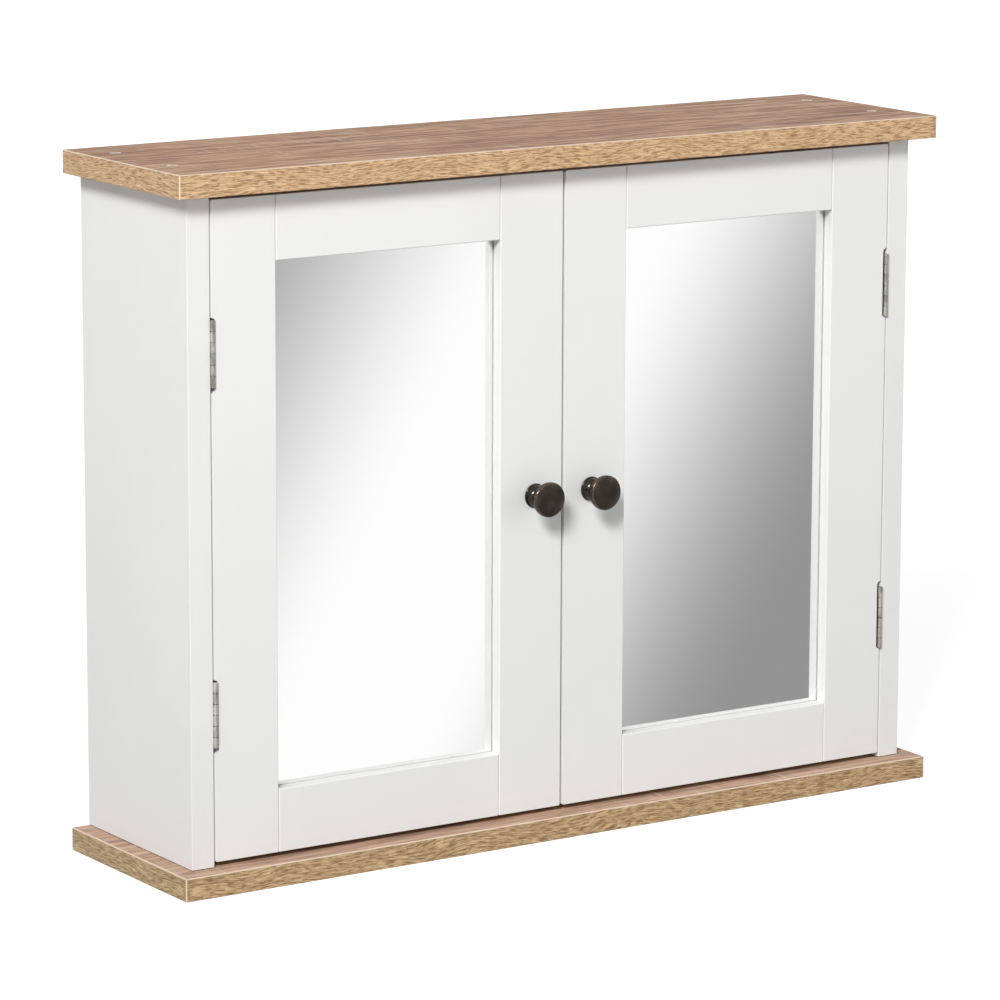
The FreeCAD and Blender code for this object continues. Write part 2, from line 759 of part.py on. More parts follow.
frame_screws = []
catch_screws = []
for side, sign in sides.items():
    nodes[side + "_side_panel"] = side_panel(sign)
    nodes[side + "_hinge_stile"] = hinge_stile(sign)
    nodes[side + "_meeting_stile"] = meeting_stile(sign)
    for end, rail_z in rail_levels().items():
        nodes[side + "_" + end + "_rail"] = door_rail(sign, rail_z)
    nodes[side + "_mirror"] = mirror_sheet(sign, (mirror_front, mirror_back))
    nodes[side + "_mirror_backing"] = mirror_sheet(sign, (mirror_back, door_back))
    nodes[side + "_mirror_clips"] = mirror_clips(sign)
    nodes[side + "_strike_plate"] = strike_plate(sign)
    nodes[side + "_door_screws"] = door_screws(sign)
    nodes[side + "_knob"] = knob(sign)
    nodes[side + "_knob_screw"] = knob_screw(sign)
    nodes[side + "_catch_housing"] = catch_housing(sign)
    nodes[side + "_catch_magnet"] = catch_pocket(sign, 0.0)
    for place, level in hinge_levels.items():
        hinge = side + "_" + place
        nodes[hinge + "_frame_leaf"] = frame_leaf(sign, level)
        nodes[hinge + "_door_leaf"] = door_leaf(sign, level)
        nodes[hinge + "_hinge_pin"] = hinge_pin(sign, level)
    frame_screws += [small_screw(spot, to_right * sign) for spot in frame_leaf_screw_spots(sign)]
    catch_screws += [catch_screw(spot, upward) for spot in catch_screw_spots(sign)]
nodes["frame_hinge_screws"] = Part.makeCompound(frame_screws)
nodes["catch_screws"] = Part.makeCompound(catch_screws)

os.makedirs("parts", exist_ok=True)
for name, shape in nodes.items():
    shape.exportStep("parts/" + name + ".step")
    print(name, len(shape.Solids), shape.isValid(), round(shape.Volume, 1))
print(len(nodes), "nodes")
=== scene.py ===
from math import cos, radians, sin

import bmesh
import bpy
from mathutils import Matrix, Vector


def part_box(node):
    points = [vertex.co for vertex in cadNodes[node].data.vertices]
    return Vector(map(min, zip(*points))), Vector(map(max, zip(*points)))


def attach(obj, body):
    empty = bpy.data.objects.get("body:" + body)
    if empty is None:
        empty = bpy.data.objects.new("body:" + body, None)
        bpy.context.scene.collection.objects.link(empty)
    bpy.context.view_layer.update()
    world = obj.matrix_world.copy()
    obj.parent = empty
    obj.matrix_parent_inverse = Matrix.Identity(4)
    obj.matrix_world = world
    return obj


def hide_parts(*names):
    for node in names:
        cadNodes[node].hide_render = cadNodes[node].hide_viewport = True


# Mirror cabinet: white painted carcass, oak-look boards, two framed mirror doors.
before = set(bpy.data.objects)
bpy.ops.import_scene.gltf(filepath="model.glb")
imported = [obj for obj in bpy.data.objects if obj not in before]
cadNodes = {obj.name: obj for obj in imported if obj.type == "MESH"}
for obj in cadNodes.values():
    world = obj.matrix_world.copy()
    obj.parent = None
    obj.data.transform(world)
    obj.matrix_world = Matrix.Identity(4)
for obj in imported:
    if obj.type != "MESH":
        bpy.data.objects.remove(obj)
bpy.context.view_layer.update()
scene = bpy.context.scene
scene.view_settings.view_transform = "Standard"
print("frame loaded:", len(cadNodes), "nodes")

plainWhite = (1.0, 1.0, 1.0, 1.0)
wideNoise = (0.30, 0.70)  # between these lie nearly all values of a noise
midNoise = (0.35, 0.65)  # and between these most of them
squareOn = (0.80, 0.95)  # a face that looks along an axis, by that part of its normal


# Small node helpers
def tint(screenColour):  # screen values 0-255 to linear light
    scaled = [value / 255 for value in screenColour]
    return (*[((value + 0.055) / 1.055) ** 2.4 for value in scaled], 1.0)


def plug(tree, node, inputs):  # links a socket, sets anything else
    for key, value in inputs.items():
        if isinstance(value, bpy.types.NodeSocket):
            tree.links.new(value, node.inputs[key])
        else:
            node.inputs[key].default_value = value


def addNode(tree, kind, inputs=None, **settings):
    node = tree.nodes.new(kind)
    for key, value in settings.items():
        setattr(node, key, value)
    plug(tree, node, inputs or {})
    return node


def startMaterial(name):
    material = bpy.data.materials.new(name)
    material.use_nodes = True
    tree = material.node_tree
    return material, tree, tree.nodes["Principled BSDF"]


def startBareMaterial(name):  # without the usual shader
    material, tree, _ = startMaterial(name)
    tree.nodes.clear()
    return material, tree


def splitAxes(tree, vector):
    parts = addNode(tree, "ShaderNodeSeparateXYZ", {"Vector": vector})
    return parts.outputs["X"], parts.outputs["Y"], parts.outputs["Z"]


def joinAxes(tree, x, y, z):
    return addNode(tree, "ShaderNodeCombineXYZ", {"X": x, "Y": y, "Z": z}).outputs[0]


def ownCoords(tree):  # the piece's own metres, so the grain stays put when a door swings
    return addNode(tree, "ShaderNodeTexCoord").outputs["Object"]


def ownNormal(tree):  # which way the piece's face looks, in its own axes
    return splitAxes(tree, addNode(tree, "ShaderNodeTexCoord").outputs["Normal"])


def calc(tree, operation, first, second=0.0):
    return addNode(tree, "ShaderNodeMath", {0: first, 1: second}, operation=operation).outputs[0]


def calcVector(tree, operation, first, second):
    node = addNode(tree, "ShaderNodeVectorMath", {0: first, 1: second}, operation=operation)
    return node.outputs[0]


def scaleCoords(tree, coords, cell):  # cell: the size of one blotch along X, Y and Z
    inputs = {"Vector": coords, "Scale": [1 / size for size in cell]}
    return addNode(tree, "ShaderNodeMapping", inputs).outputs[0]


def noise(tree, coords, cell, detail=3.0, roughness=0.55):
    inputs = {"Vector": scaleCoords(tree, coords, cell), "Scale": 1.0,
              "Detail": detail, "Roughness": roughness}
    return addNode(tree, "ShaderNodeTexNoise", inputs).outputs["Fac"]


def slide(tree, value, low, high, toLow=0.0, toHigh=1.0):
    inputs = {"Value": value, "From Min": low, "From Max": high, "To Min": toLow, "To Max": toHigh}
    return addNode(tree, "ShaderNodeMapRange", inputs, interpolation_type="SMOOTHSTEP").outputs[0]


def mixColour(tree, share, first, second, blend="MIX"):
    inputs = {0: share, 6: first, 7: second}
    return addNode(tree, "ShaderNodeMix", inputs, data_type="RGBA", blend_type=blend).outputs[2]


def colourRamp(tree, value, stops):  # stops: place along the ramp and its screen colour
    node = addNode(tree, "ShaderNodeValToRGB", {"Fac": value})
    elements = node.color_ramp.elements
    elements[0].position, elements[1].position = stops[0][0], stops[-1][0]
    elements[0].color, elements[1].color = tint(stops[0][1]), tint(stops[-1][1])
    for place, colour in stops[1:-1]:
        elements.new(place).color = tint(colour)
    return node.outputs["Color"]


def bump(tree, height, distance):
    inputs = {"Height": height, "Distance": distance, "Strength": 1.0}
    return addNode(tree, "ShaderNodeBump", inputs).outputs["Normal"]


def wavering(tree, coords, cell, reach):  # coords pushed sideways a little by broad noise
    inputs = {"Vector": scaleCoords(tree, coords, cell), "Scale": 1.0, "Detail": 0.0}
    cloud = addNode(tree, "ShaderNodeTexNoise", inputs).outputs["Color"]
    centred = calcVector(tree, "SUBTRACT", cloud, (0.5, 0.5, 0.5))
    return calcVector(tree, "ADD", coords, calcVector(tree, "MULTIPLY", centred, reach))


def layered(tree, coords, layers):  # layers: cell size and weight of each noise
    total = 0.0
    for cell, weight in layers:
        total = calc(tree, "ADD", calc(tree, "MULTIPLY", noise(tree, coords, cell), weight), total)
    return total


def fromEnds(tree, place, first, last):  # distance from the nearer end
    fromFirst = calc(tree, "SUBTRACT", place, first)
    return calc(tree, "MINIMUM", fromFirst, calc(tree, "SUBTRACT", last, place))


def wornAndLitEdges(tree, radius, low, high):  # 1 along a piece's own edges, 0 on its flats
    eased = addNode(tree, "ShaderNodeBevel", {"Radius": radius}, samples=6).outputs[0]
    plain = addNode(tree, "ShaderNodeNewGeometry").outputs["Normal"]
    facing = addNode(tree, "ShaderNodeVectorMath", {0: eased, 1: plain}, operation="DOT_PRODUCT")
    return slide(tree, calc(tree, "SUBTRACT", 1.0, facing.outputs["Value"]), low, high)


def rayKinds(tree, kinds):
    path = addNode(tree, "ShaderNodeLightPath")
    found = path.outputs[kinds[0]]
    for kind in kinds[1:]:
        found = calc(tree, "MAXIMUM", found, path.outputs[kind])
    return found


def metPaint(tree, operation):  # GREATER_THAN: the ray has met a matt surface, LESS_THAN: not yet
    depth = addNode(tree, "ShaderNodeLightPath").outputs["Diffuse Depth"]
    return calc(tree, operation, depth, 0.5)


# Oak-look laminate on the flat faces of the top and bottom boards
# Each share below says from and to which noise value, and how much of the colour shows there.
oakFace = {
    "stops": [(0.40, (128, 91, 70)), (0.47, (162, 124, 98)),
              (0.53, (186, 148, 121)), (0.61, (216, 183, 156))],
    "layers": [((0.30, 0.030, 0.030), 0.12), ((0.15, 0.0090, 0.0090), 0.20),
               ((0.060, 0.0042, 0.0042), 0.36), ((0.020, 0.0020, 0.0020), 0.32)],
    "waverCell": (0.22, 0.07, 0.07),
    "waver": (0.0, 0.014, 0.0),
    "streakCell": (0.044, 0.0036, 0.0036),
    "darkStreak": (122, 88, 68),
    "darkShare": (0.55, 0.60, 0.0, 0.50),
    "paleStreak": (210, 176, 150),
    "paleShare": (0.40, 0.45, 0.50, 0.0),
    "sawCell": (0.0016, 0.040, 0.040),  # marks of the saw, across the grain
    "sawShare": (0.58, 0.70, 0.0, 0.60),
    "sawPatch": (0.07, 0.05, 0.05),
    "sawPatchShare": (0.47, 0.60),
    "sawMark": (220, 196, 174),
    "flames": [((0.174, -0.058), (0.052, 0.0085)), ((0.236, -0.044), (0.026, 0.0070)),
               ((-0.120, 0.020), (0.060, 0.0080))],  # dark lens figures: middle, half length and half width
    "flame": (112, 80, 63),
    "flameShare": (0.42, 0.56, 0.85, 0.25),
    "flameFade": (0.05, 1.0, 1.0, 0.0),  # from a lens's middle to its edge
    "chipCell": (0.0045, 0.002, 0.0022),
    "chipStops": [(0.30, (120, 92, 62)), (0.50, (184, 152, 110)), (0.72, (216, 190, 150))],
    "roughness": (0.56, 0.70),
    "gloss": 0.22,
    "bumpHeight": 0.00012,
}
lowFacePaintedLight = ((228, 202, 184), 0.25)  # painted light: the bottom board is paler, standing in for the light and sheen the white carcass throws on it; its colour and how strong it is
poreDepth = 1.2  # against the height of the grain


def flameFigure(tree, coords, middle, reach):  # 1 in the middle of a lens, 0 at its edge
    total = 0.0
    for place, centre, half in zip(splitAxes(tree, coords), middle, reach):
        share = calc(tree, "DIVIDE", calc(tree, "SUBTRACT", place, centre), half)
        total = calc(tree, "ADD", calc(tree, "POWER", share, 2.0), total)
    return slide(tree, total, *oakFace["flameFade"])


def finishOak(tree, shader, look, colour, tone, pores):
    height = calc(tree, "SUBTRACT", tone, calc(tree, "MULTIPLY", pores, poreDepth))
    plug(tree, shader, {
        "Base Color": colour,
        "Roughness": slide(tree, tone, *midNoise, *look["roughness"]),
        "Specular IOR Level": look["gloss"],
        "Normal": bump(tree, height, look["bumpHeight"]),
    })


def makeOakFace(name, paintedLight=None):
    look = oakFace
    material, tree, shader = startMaterial(name)
    coords = ownCoords(tree)
    grain = wavering(tree, coords, look["waverCell"], look["waver"])
    tone = layered(tree, grain, look["layers"])
    colour = colourRamp(tree, tone, look["stops"])
    flames = 0.0
    for middle, reach in look["flames"]:
        flames = calc(tree, "MAXIMUM", flameFigure(tree, grain, middle, reach), flames)
    flames = calc(tree, "MULTIPLY", flames, slide(tree, tone, *look["flameShare"]))
    colour = mixColour(tree, flames, colour, tint(look["flame"]))
    streaks = noise(tree, grain, look["streakCell"], detail=1.0)
    pores = slide(tree, streaks, *look["darkShare"])
    colour = mixColour(tree, pores, colour, tint(look["darkStreak"]))
    pale = slide(tree, streaks, *look["paleShare"])
    colour = mixColour(tree, pale, colour, tint(look["paleStreak"]))
    patches = slide(tree, noise(tree, coords, look["sawPatch"]), *look["sawPatchShare"])
    saw = slide(tree, noise(tree, coords, look["sawCell"], detail=1.0), *look["sawShare"])
    colour = mixColour(tree, calc(tree, "MULTIPLY", saw, patches), colour, tint(look["sawMark"]))
    # painted light: a paler wash over the bottom board's face, for the light the white carcass throws on it
    if paintedLight:
        washColour, strength = paintedLight
        colour = mixColour(tree, strength, colour, tint(washColour))
    # the back edges are bare chipboard
    chips = colourRamp(tree, noise(tree, coords, look["chipCell"], detail=2.0), look["chipStops"])
    backward = ownNormal(tree)[1]
    colour = mixColour(tree, slide(tree, backward, *squareOn), colour, chips)
    finishOak(tree, shader, look, colour, tone, pores)
    return material


# Edge band on the boards: yellower, with short dark pores and a pale arris that is partly scraped edging
# and partly a painted highlight
oakBand = {
    "stops": [(0.36, (160, 122, 81)), (0.47, (202, 163, 120)),
              (0.54, (218, 181, 139)), (0.65, (238, 206, 168))],
    "layers": [((0.040, 1.0, 0.0022), 0.26), ((0.013, 1.0, 0.0010), 0.40), ((0.007, 1.0, 0.0006), 0.34)],
    "waverCell": (0.060, 1.0, 0.030),
    "waver": (0.0, 0.0, 0.013),
    "poreCell": (0.0078, 1.0, 0.00080),
    "poreShare": (0.545, 0.575, 0.0, 0.60),
    "pore": (122, 90, 56),
    "fleckCell": (0.0072, 1.0, 0.00075),
    "fleckShare": (0.55, 0.58, 0.0, 0.30),
    "fleck": (242, 212, 174),
    "shadeTone": (0.42, 0.58),  # from the darker grain to the paler
    "arris": (230, 208, 186),
    "arrisWidth": 0.0006,
    "cornerWidth": 0.0009,
    "arrisFade": (0.7, 1.1),  # of those widths
    "arrisShare": 0.95,
    "endShade": (0.92, 0.935, 0.97, 1.0),  # the short strips at the ends
    "roughness": (0.46, 0.60),
    "gloss": 0.30,
    "bumpHeight": 0.00010,
}
# Painted shade: the bottom board's band is darkened as if shaded near the floor, and tinted greener; what
# its darker and its paler grain are multiplied by
lowBandShadeAndTint = ((0.73, 0.76, 0.74, 1.0), (0.92, 0.96, 0.93, 1.0))


def scrapedAndLitArris(tree, away, width):  # 1 along the arris: pale scraped edging and a painted highlight
    near, far = [width * share for share in oakBand["arrisFade"]]
    return slide(tree, away, near, far, oakBand["arrisShare"], 0.0)


def makeOakBand(name, node, shadeAndTint=None):
    look = oakBand
    material, tree, shader = startMaterial(name)
    low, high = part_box(node)
    x, y, z = splitAxes(tree, ownCoords(tree))
    along = joinAxes(tree, calc(tree, "ADD", x, y), 0.0, z)  # runs round the corners with the band
    grain = wavering(tree, along, look["waverCell"], look["waver"])
    tone = layered(tree, grain, look["layers"])
    colour = colourRamp(tree, tone, look["stops"])
    flecks = slide(tree, noise(tree, grain, look["fleckCell"], detail=1.0), *look["fleckShare"])
    colour = mixColour(tree, flecks, colour, tint(look["fleck"]))
    pores = slide(tree, noise(tree, grain, look["poreCell"], detail=1.0), *look["poreShare"])
    colour = mixColour(tree, pores, colour, tint(look["pore"]))
    # painted shade and a greener tint on the lower band
    if shadeAndTint:
        shade = mixColour(tree, slide(tree, tone, *look["shadeTone"]), *shadeAndTint)
        colour = mixColour(tree, 1.0, colour, shade, "MULTIPLY")
    endways = calc(tree, "ABSOLUTE", ownNormal(tree)[0])
    colour = mixColour(tree, slide(tree, endways, *squareOn), colour, look["endShade"], "MULTIPLY")
    # painted highlight with scraped edging: pale along the top arris and the front corners, which face the
    # light
    topArris = scrapedAndLitArris(tree, calc(tree, "SUBTRACT", high.z, z), look["arrisWidth"])
    fromFront = calc(tree, "SUBTRACT", y, low.y)
    fromEnd = calc(tree, "SUBTRACT", high.x, calc(tree, "ABSOLUTE", x))
    corner = scrapedAndLitArris(tree, calc(tree, "MAXIMUM", fromFront, fromEnd), look["cornerWidth"])
    colour = mixColour(tree, calc(tree, "MAXIMUM", topArris, corner), colour, tint(look["arris"]))
    finishOak(tree, shader, look, colour, tone, pores)
    return material


# White satin paint on the carcass and the door frames
boardPaint = {
    "white": (237, 237, 236),
    "shade": (234, 234, 233),
    "cloudCell": 0.17,
    "peelCell": 0.0016,
    "peelHeight": 0.000022,
    "roughness": (0.46, 0.56),
    # painted shade: dark brown for the steps where the side panels meet the boards
    "stepShadeColour": (66, 52, 40),
    "stepShadeSpan": (0.00048, 0.0006),  # the step at a side panel's ends: where its painted shade fades, its height
}
framePaint = {
    "white": (238, 238, 237),
    "shade": (236, 236, 235),
    "cloudCell": 0.13,
    "peelCell": 0.0012,
    "peelHeight": 0.000016,
    "roughness": (0.42, 0.52),
}
anyPaint = {
    "cloudShare": (0.38, 0.62),
    "sheenCell": (0.012, 0.012, 0.030),
    "gloss": 0.30,
}


def makePaint(name, look, stepped=None):
    material, tree, shader = startMaterial(name)
    coords = ownCoords(tree)
    clouds = noise(tree, coords, (look["cloudCell"],) * 3, detail=4.0)
    clouds = slide(tree, clouds, *anyPaint["cloudShare"])
    colour = mixColour(tree, clouds, tint(look["shade"]), tint(look["white"]))
    if stepped:  # painted shade: a dark line in the steps at the ends, where the panel meets the boards
        low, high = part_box(stepped)
        fromEnd = fromEnds(tree, splitAxes(tree, coords)[2], low.z, high.z)
        stepShade = slide(tree, fromEnd, *look["stepShadeSpan"], 1.0, 0.0)
        colour = mixColour(tree, stepShade, colour, tint(look["stepShadeColour"]))
    peel = noise(tree, coords, (look["peelCell"],) * 3, detail=1.5)
    sheen = noise(tree, coords, anyPaint["sheenCell"], detail=3.0)
    plug(tree, shader, {
        "Base Color": colour,
        "Roughness": slide(tree, sheen, *midNoise, *look["roughness"]),
        "Specular IOR Level": anyPaint["gloss"],
        "Normal": bump(tree, peel, look["peelHeight"]),
    })
    return material


# Dark bronze knobs, paler on their rims: partly rubbed wear, partly a painted highlight
bronze = {
    "stops": [(0.32, (46, 40, 34)), (0.52, (60, 52, 45)), (0.72, (74, 63, 54))],
    "wornAndLit": (182, 154, 124),
    "wornAndLitTurn": (0.01, 0.16),  # how far an edge turns where the wear and painted highlight start and are full
    "wornAndLitMottle": (0.30, 0.60),
    "neckShade": (0.50, 0.54, 0.56, 1.0),  # darker behind the head
    "headDepth": (0.0050, 0.0065),
    "mottleCell": 0.0100,
    "brushCell": (0.0035, 0.0035, 0.0004),
    "edgeRadius": 0.0010,
    "faceTurn": (-0.90, -0.70, 1.0, 0.0),  # the head's face looks to the front
    "roughness": (0.20, 0.28),
    "faceRoughness": (0.42, 0.50),  # dulled by fingers
    "lacquer": 0.6,
    "faceLacquer": 0.15,
    "lacquerRoughness": 0.12,
    "bumpHeight": 0.000008,
}


def makeBronze():
    look = bronze
    material, tree, shader = startMaterial("dark_bronze")
    coords = ownCoords(tree)
    mottle = noise(tree, coords, (look["mottleCell"],) * 3, detail=5.0, roughness=0.62)
    colour = colourRamp(tree, mottle, look["stops"])
    edges = wornAndLitEdges(tree, look["edgeRadius"], *look["wornAndLitTurn"])
    edges = calc(tree, "MULTIPLY", edges, slide(tree, mottle, *look["wornAndLitMottle"]))
    # paler rims: rubbed wear and a painted highlight
    colour = mixColour(tree, edges, colour, tint(look["wornAndLit"]))
    behind = calc(tree, "SUBTRACT", splitAxes(tree, coords)[1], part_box("left_knob")[0].y)
    neck = slide(tree, behind, *look["headDepth"])
    colour = mixColour(tree, neck, colour, look["neckShade"], "MULTIPLY")
    brushed = noise(tree, coords, look["brushCell"], detail=2.0)
    face = slide(tree, ownNormal(tree)[1], *look["faceTurn"])
    smooth = slide(tree, brushed, *wideNoise, *look["roughness"])
    dull = slide(tree, brushed, *wideNoise, *look["faceRoughness"])
    plug(tree, shader, {
        "Base Color": colour,
        "Metallic": 1.0,
        "Roughness": addNode(tree, "ShaderNodeMix", {0: face, 2: smooth, 3: dull}).outputs[0],
        "Coat Weight": slide(tree, face, 0.0, 1.0, look["lacquer"], look["faceLacquer"]),
        "Coat Roughness": look["lacquerRoughness"],
        "Normal": bump(tree, mottle, look["bumpHeight"]),
    })
    return material


# Plated metals for hinges, screws, clips and pins, and the dark ferrite of the magnets
nickel = {
    "stops": [(0.34, (146, 140, 133)), (0.50, (182, 175, 167)), (0.68, (208, 202, 195))],
    "mottleCell": (0.004, 0.004, 0.009),
    "scratchCell": (0.0004, 0.0004, 0.010),
    "roughness": (0.24, 0.38),
    "bumpHeight": 0.00001,
}
brightZinc = {
    "stops": [(0.32, (214, 208, 196)), (0.52, (228, 223, 212)), (0.70, (240, 236, 226))],
    "mottleCell": (0.003, 0.003, 0.003),
    "scratchCell": (0.004, 0.0003, 0.0003),
    "roughness": (0.26, 0.42),
    "bumpHeight": 0.00001,
}
plainZinc = {
    "stops": [(0.32, (176, 178, 178)), (0.52, (196, 198, 198)), (0.70, (212, 214, 213))],
    "mottleCell": (0.006, 0.006, 0.006),
    "scratchCell": (0.008, 0.0004, 0.0004),
    "roughness": (0.30, 0.46),
    "bumpHeight": 0.00001,
}
ferrite = {
    "stops": [(0.32, (44, 44, 46)), (0.52, (58, 58, 60)), (0.70, (74, 74, 76))],
    "mottleCell": (0.002, 0.002, 0.002),
    "scratchCell": (0.006, 0.0003, 0.0003),
    "roughness": (0.50, 0.66),
    "bumpHeight": 0.00002,
}


def finishRough(tree, shader, look, colour, relief):  # relief: noise that sets the sheen and the bump
    plug(tree, shader, {
        "Base Color": colour,
        "Roughness": slide(tree, relief, *wideNoise, *look["roughness"]),
        "Normal": bump(tree, relief, look["bumpHeight"]),
    })


def makePlated(name, look):
    material, tree, shader = startMaterial(name)
    coords = ownCoords(tree)
    mottle = noise(tree, coords, look["mottleCell"], detail=4.0)
    scratches = noise(tree, coords, look["scratchCell"], detail=2.0)
    finishRough(tree, shader, look, colourRamp(tree, mottle, look["stops"]), scratches)
    plug(tree, shader, {"Metallic": 1.0})
    return material


# Hardboard: white to the front, brown fibre to the wall; the doors' backing boards are white on both sides
hardboard = {
    "white": (234, 233, 228),
    "shade": (226, 225, 219),
    "fibreStops": [(0.30, (104, 74, 48)), (0.50, (134, 98, 66)), (0.72, (160, 122, 86))],
    "layers": [((0.0035, 0.0035, 0.0009), 0.5), ((0.0013, 0.0013, 0.0013), 0.5)],  # fibres, pressed screen
    "frontTurn": (-0.9, -0.5, 1.0, 0.0),  # white where a face looks to the front
    "bothTurn": (0.5, 0.9),  # white where it looks to the front or back
    "roughness": (0.55, 0.80),
    "bumpHeight": 0.00008,
}


def makeHardboard(name, bothWhite):
    look = hardboard
    material, tree, shader = startMaterial(name)
    fibres = layered(tree, ownCoords(tree), look["layers"])
    brown = colourRamp(tree, fibres, look["fibreStops"])
    white = mixColour(tree, slide(tree, fibres, *midNoise), tint(look["shade"]), tint(look["white"]))
    backward = ownNormal(tree)[1]
    if bothWhite:
        whiteShare = slide(tree, calc(tree, "ABSOLUTE", backward), *look["bothTurn"])
    else:
        whiteShare = slide(tree, backward, *look["frontTurn"])
    finishRough(tree, shader, look, mixColour(tree, whiteShare, brown, white), fibres)
    return material


# Beech dowels and the catches' moulded plastic
beech = {
    "stops": [(0.32, (186, 150, 106)), (0.52, (206, 172, 128)), (0.70, (222, 192, 150))],
    "grainCell": (0.0012, 0.0012, 0.020),
    "roughness": (0.60, 0.75),
    "bumpHeight": 0.00006,
}
plastic = {
    "white": (230, 230, 225),
    "shade": (224, 224, 218),
    "sparkCell": 0.0005,
    "roughness": (0.36, 0.48),
    "bumpHeight": 0.00002,
}


def makeBeech():
    material, tree, shader = startMaterial("beech")
    grain = noise(tree, ownCoords(tree), beech["grainCell"], detail=4.0)
    finishRough(tree, shader, beech, colourRamp(tree, grain, beech["stops"]), grain)
    return material


def makePlastic():
    material, tree, shader = startMaterial("catch_plastic")
    spark = noise(tree, ownCoords(tree), (plastic["sparkCell"],) * 3, detail=2.0)
    colour = mixColour(tree, spark, tint(plastic["shade"]), tint(plastic["white"]))
    finishRough(tree, shader, plastic, colour, spark)
    return material


# Mirrors: clear glass in front, silvered at its back, and felt behind
mirror = {
    "glassTint": (253, 254, 254),
    "glassIor": 1.5,
    "silver": (249, 248, 248),
    "thrown": (206, 206, 206),  # what the mirror throws on the frame
    "lapEdge": (0.0075, 0.0105),  # from the sheet's edge, where the frame's lap ends
    "smearCell": (0.05, 0.05, 0.09),
    "smearShare": (0.40, 0.70),
    "silverRoughness": (0.0, 0.012),
    "spread": 0.7,  # how widely it throws light on the frame
    "glassDepth": 0.0015,
    "seam": 0.0004,  # ground edge of the glass
    "room": 0.0001,  # between the frame, the glass, its felt and the board behind
}
felt = {
    "stops": [(0.32, (96, 98, 100)), (0.52, (110, 112, 114)), (0.70, (124, 126, 128))],
    "fibreCell": 0.0009,
    "roughness": (0.80, 0.95),
    "bumpHeight": 0.0001,
}


def makeGlass():
    material, tree, shader = startMaterial("clear_glass")
    plug(tree, shader, {
        "Base Color": tint(mirror["glassTint"]),
        "Roughness": 0.0,
        "IOR": mirror["glassIor"],
        "Transmission Weight": 1.0,
    })
    clear = addNode(tree, "ShaderNodeBsdfTransparent")  # light gets through to the silvering and the rebate
    lit = calc(tree, "MAXIMUM", rayKinds(tree, ["Is Shadow Ray"]), metPaint(tree, "GREATER_THAN"))
    both = addNode(tree, "ShaderNodeMixShader", {0: lit, 1: shader.outputs[0], 2: clear.outputs[0]})
    plug(tree, tree.nodes["Material Output"], {"Surface": both.outputs[0]})
    return material


def makeSilver():
    material, tree, shader = startMaterial("silvering")
    coords = ownCoords(tree)
    smear = noise(tree, coords, mirror["smearCell"], detail=3.0)
    x, _, z = splitAxes(tree, coords)
    low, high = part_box("right_mirror")  # the left one is its twin
    fromSide = fromEnds(tree, calc(tree, "ABSOLUTE", x), low.x, high.x)
    fromEdge = calc(tree, "MINIMUM", fromSide, fromEnds(tree, z, low.z, high.z))
    inside = slide(tree, fromEdge, *mirror["lapEdge"])
    fromPaint = rayKinds(tree, ["Is Diffuse Ray"])
    onPaint = calc(tree, "MULTIPLY", fromPaint, inside)
    polish = slide(tree, smear, *mirror["smearShare"], *mirror["silverRoughness"])
    spread = calc(tree, "MULTIPLY", fromPaint, mirror["spread"])
    plug(tree, shader, {
        "Base Color": mixColour(tree, onPaint, tint(mirror["silver"]), tint(mirror["thrown"])),
        "Metallic": 1.0,
        "Roughness": calc(tree, "MAXIMUM", polish, spread),
    })
    return material


def makeFelt():
    material, tree, shader = startMaterial("mirror_felt")
    fibres = noise(tree, ownCoords(tree), (felt["fibreCell"],) * 3, detail=3.0)
    finishRough(tree, shader, felt, colourRamp(tree, fibres, felt["stops"]), fibres)
    return material


def addSlab(shape, low, high):
    made = bmesh.ops.create_cube(shape, size=1.0)["verts"]
    bmesh.ops.scale(shape, vec=high - low, verts=made)
    bmesh.ops.translate(shape, vec=(low + high) / 2, verts=made)


def makeMirror(side, coats):  # coats: glass, silvering and felt
    low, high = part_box(side + "_mirror")
    room = Vector((0.0, mirror["room"], 0.0))
    low, high = low + room, high - room
    back = Vector((high.x, low.y + mirror["glassDepth"], high.z))  # the silvered face
    mesh = bpy.data.meshes.new(side + "_mirror_glass")
    shape = bmesh.new()
    addSlab(shape, low, back)
    bmesh.ops.bevel(shape, geom=shape.edges[:], offset=mirror["seam"], segments=1, affect="EDGES")
    addSlab(shape, Vector((low.x, back.y, low.z)) + room, high)
    shape.normal_update()
    for face in shape.faces:
        if face.calc_center_median().y > back.y + mirror["room"] / 2:
            face.material_index = 2
        elif face.normal.y > squareOn[1]:
            face.material_index = 1
    shape.to_mesh(mesh)
    shape.free()
    for coat in coats:
        mesh.materials.append(coat)
    piece = bpy.data.objects.new(side + "_mirror_glass", mesh)
    scene.collection.objects.link(piece)
    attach(piece, side + "_door")
    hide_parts(side + "_mirror")


